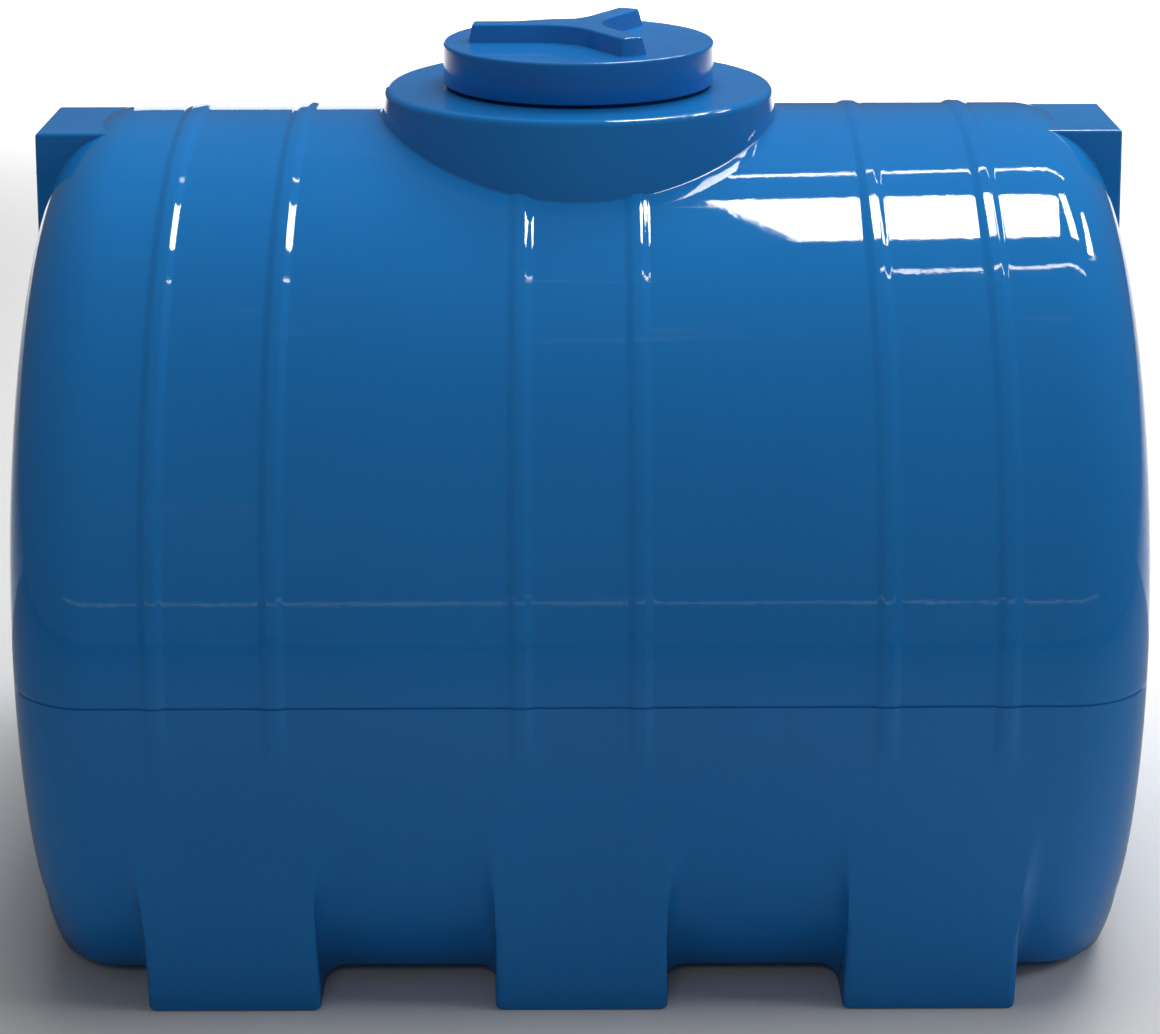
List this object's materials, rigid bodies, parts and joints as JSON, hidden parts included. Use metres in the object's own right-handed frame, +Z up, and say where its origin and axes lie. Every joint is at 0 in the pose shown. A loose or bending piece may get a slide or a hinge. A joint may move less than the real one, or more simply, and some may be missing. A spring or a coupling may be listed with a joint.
{
  "type": "livestock water tank",
  "caption": "Horizontal closed water tank for stock watering: domed ribbed barrel on three saddle feet, screw lid on a round collar, plugged end ports and a rear ball valve outlet.",
  "frame": {"origin": "on the floor under the middle of the barrel, at the bottom of the feet", "axes": "+X along the barrel towards the overflow port, +Y to the rear where the outlet valve is, +Z up"},
  "size_m": [1.306, 1.086, 1.007],
  "materials": {
    "blue_polyethylene": "glossy rotationally moulded polyethylene, faint orange peel",
    "lid_polyethylene": "semi-gloss moulded polyethylene",
    "black_rubber": "matt EPDM rubber",
    "black_polypropylene": "satin moulded polypropylene",
    "brass": "turned brass",
    "nickel_brass": "nickel-plated brass, satin",
    "polished_steel": "polished chrome-plated ball",
    "zinc_steel": "zinc-plated steel",
    "white_seal": "PTFE, waxy white",
    "lever_vinyl": "dipped vinyl, satin"
  },
  "bodies": {
    "root": {"tank_collar": "blue_polyethylene", "tank_roof_front": "blue_polyethylene", "tank_roof_rear": "blue_polyethylene", "tank_end_left": "blue_polyethylene", "tank_end_right": "blue_polyethylene", "tank_foot_left_front": "blue_polyethylene", "tank_foot_left_rear": "blue_polyethylene", "tank_foot_middle_front": "blue_polyethylene", "tank_foot_middle_rear": "blue_polyethylene", "tank_foot_right_front": "blue_polyethylene", "tank_foot_right_rear": "blue_polyethylene", "tank_belly_left": "blue_polyethylene", "tank_belly_right": "blue_polyethylene", "inlet_insert": "brass", "inlet_seal": "black_rubber", "inlet_plug": "black_polypropylene", "overflow_insert": "brass", "overflow_seal": "black_rubber", "overflow_plug": "black_polypropylene", "outlet_fitting": "black_polypropylene", "outlet_inner_gasket": "black_rubber", "outlet_outer_washer": "black_rubber", "outlet_backnut": "black_polypropylene", "valve_body": "nickel_brass", "valve_end_cap": "nickel_brass", "valve_seat_inner": "white_seal", "valve_seat_outer": "white_seal", "stem_seal": "white_seal", "packing_nut": "nickel_brass"},
    "lid_seal": {"lid_gasket": "black_rubber"},
    "lid": {"screw_lid": "lid_polyethylene"},
    "valve_handle": {"valve_ball": "polished_steel", "valve_stem": "nickel_brass", "valve_lever": "zinc_steel", "lever_grip": "lever_vinyl", "lever_nut": "zinc_steel"}
  },
  "joints": [
    {"name": "lid_rise", "type": "slide", "parent": "root", "child": "lid_seal", "axis": [0, 0, 1], "range_m": [0, 0.0281]},
    {"name": "lid_unscrew", "type": "hinge", "parent": "lid_seal", "child": "lid", "pos_m": [0, 0, 0.94], "axis": [0, 0, 1], "range_deg": [0, 630]},
    {"name": "valve_turn", "type": "hinge", "parent": "root", "child": "valve_handle", "pos_m": [0.191, 0.509, 0.076], "axis": [0, 0, 1], "range_deg": [-90, 0]}
  ],
  "couplings": [
    {"joint": "lid_rise", "follows": "lid_unscrew", "m_per_rad": 0.0025465}
  ]
}
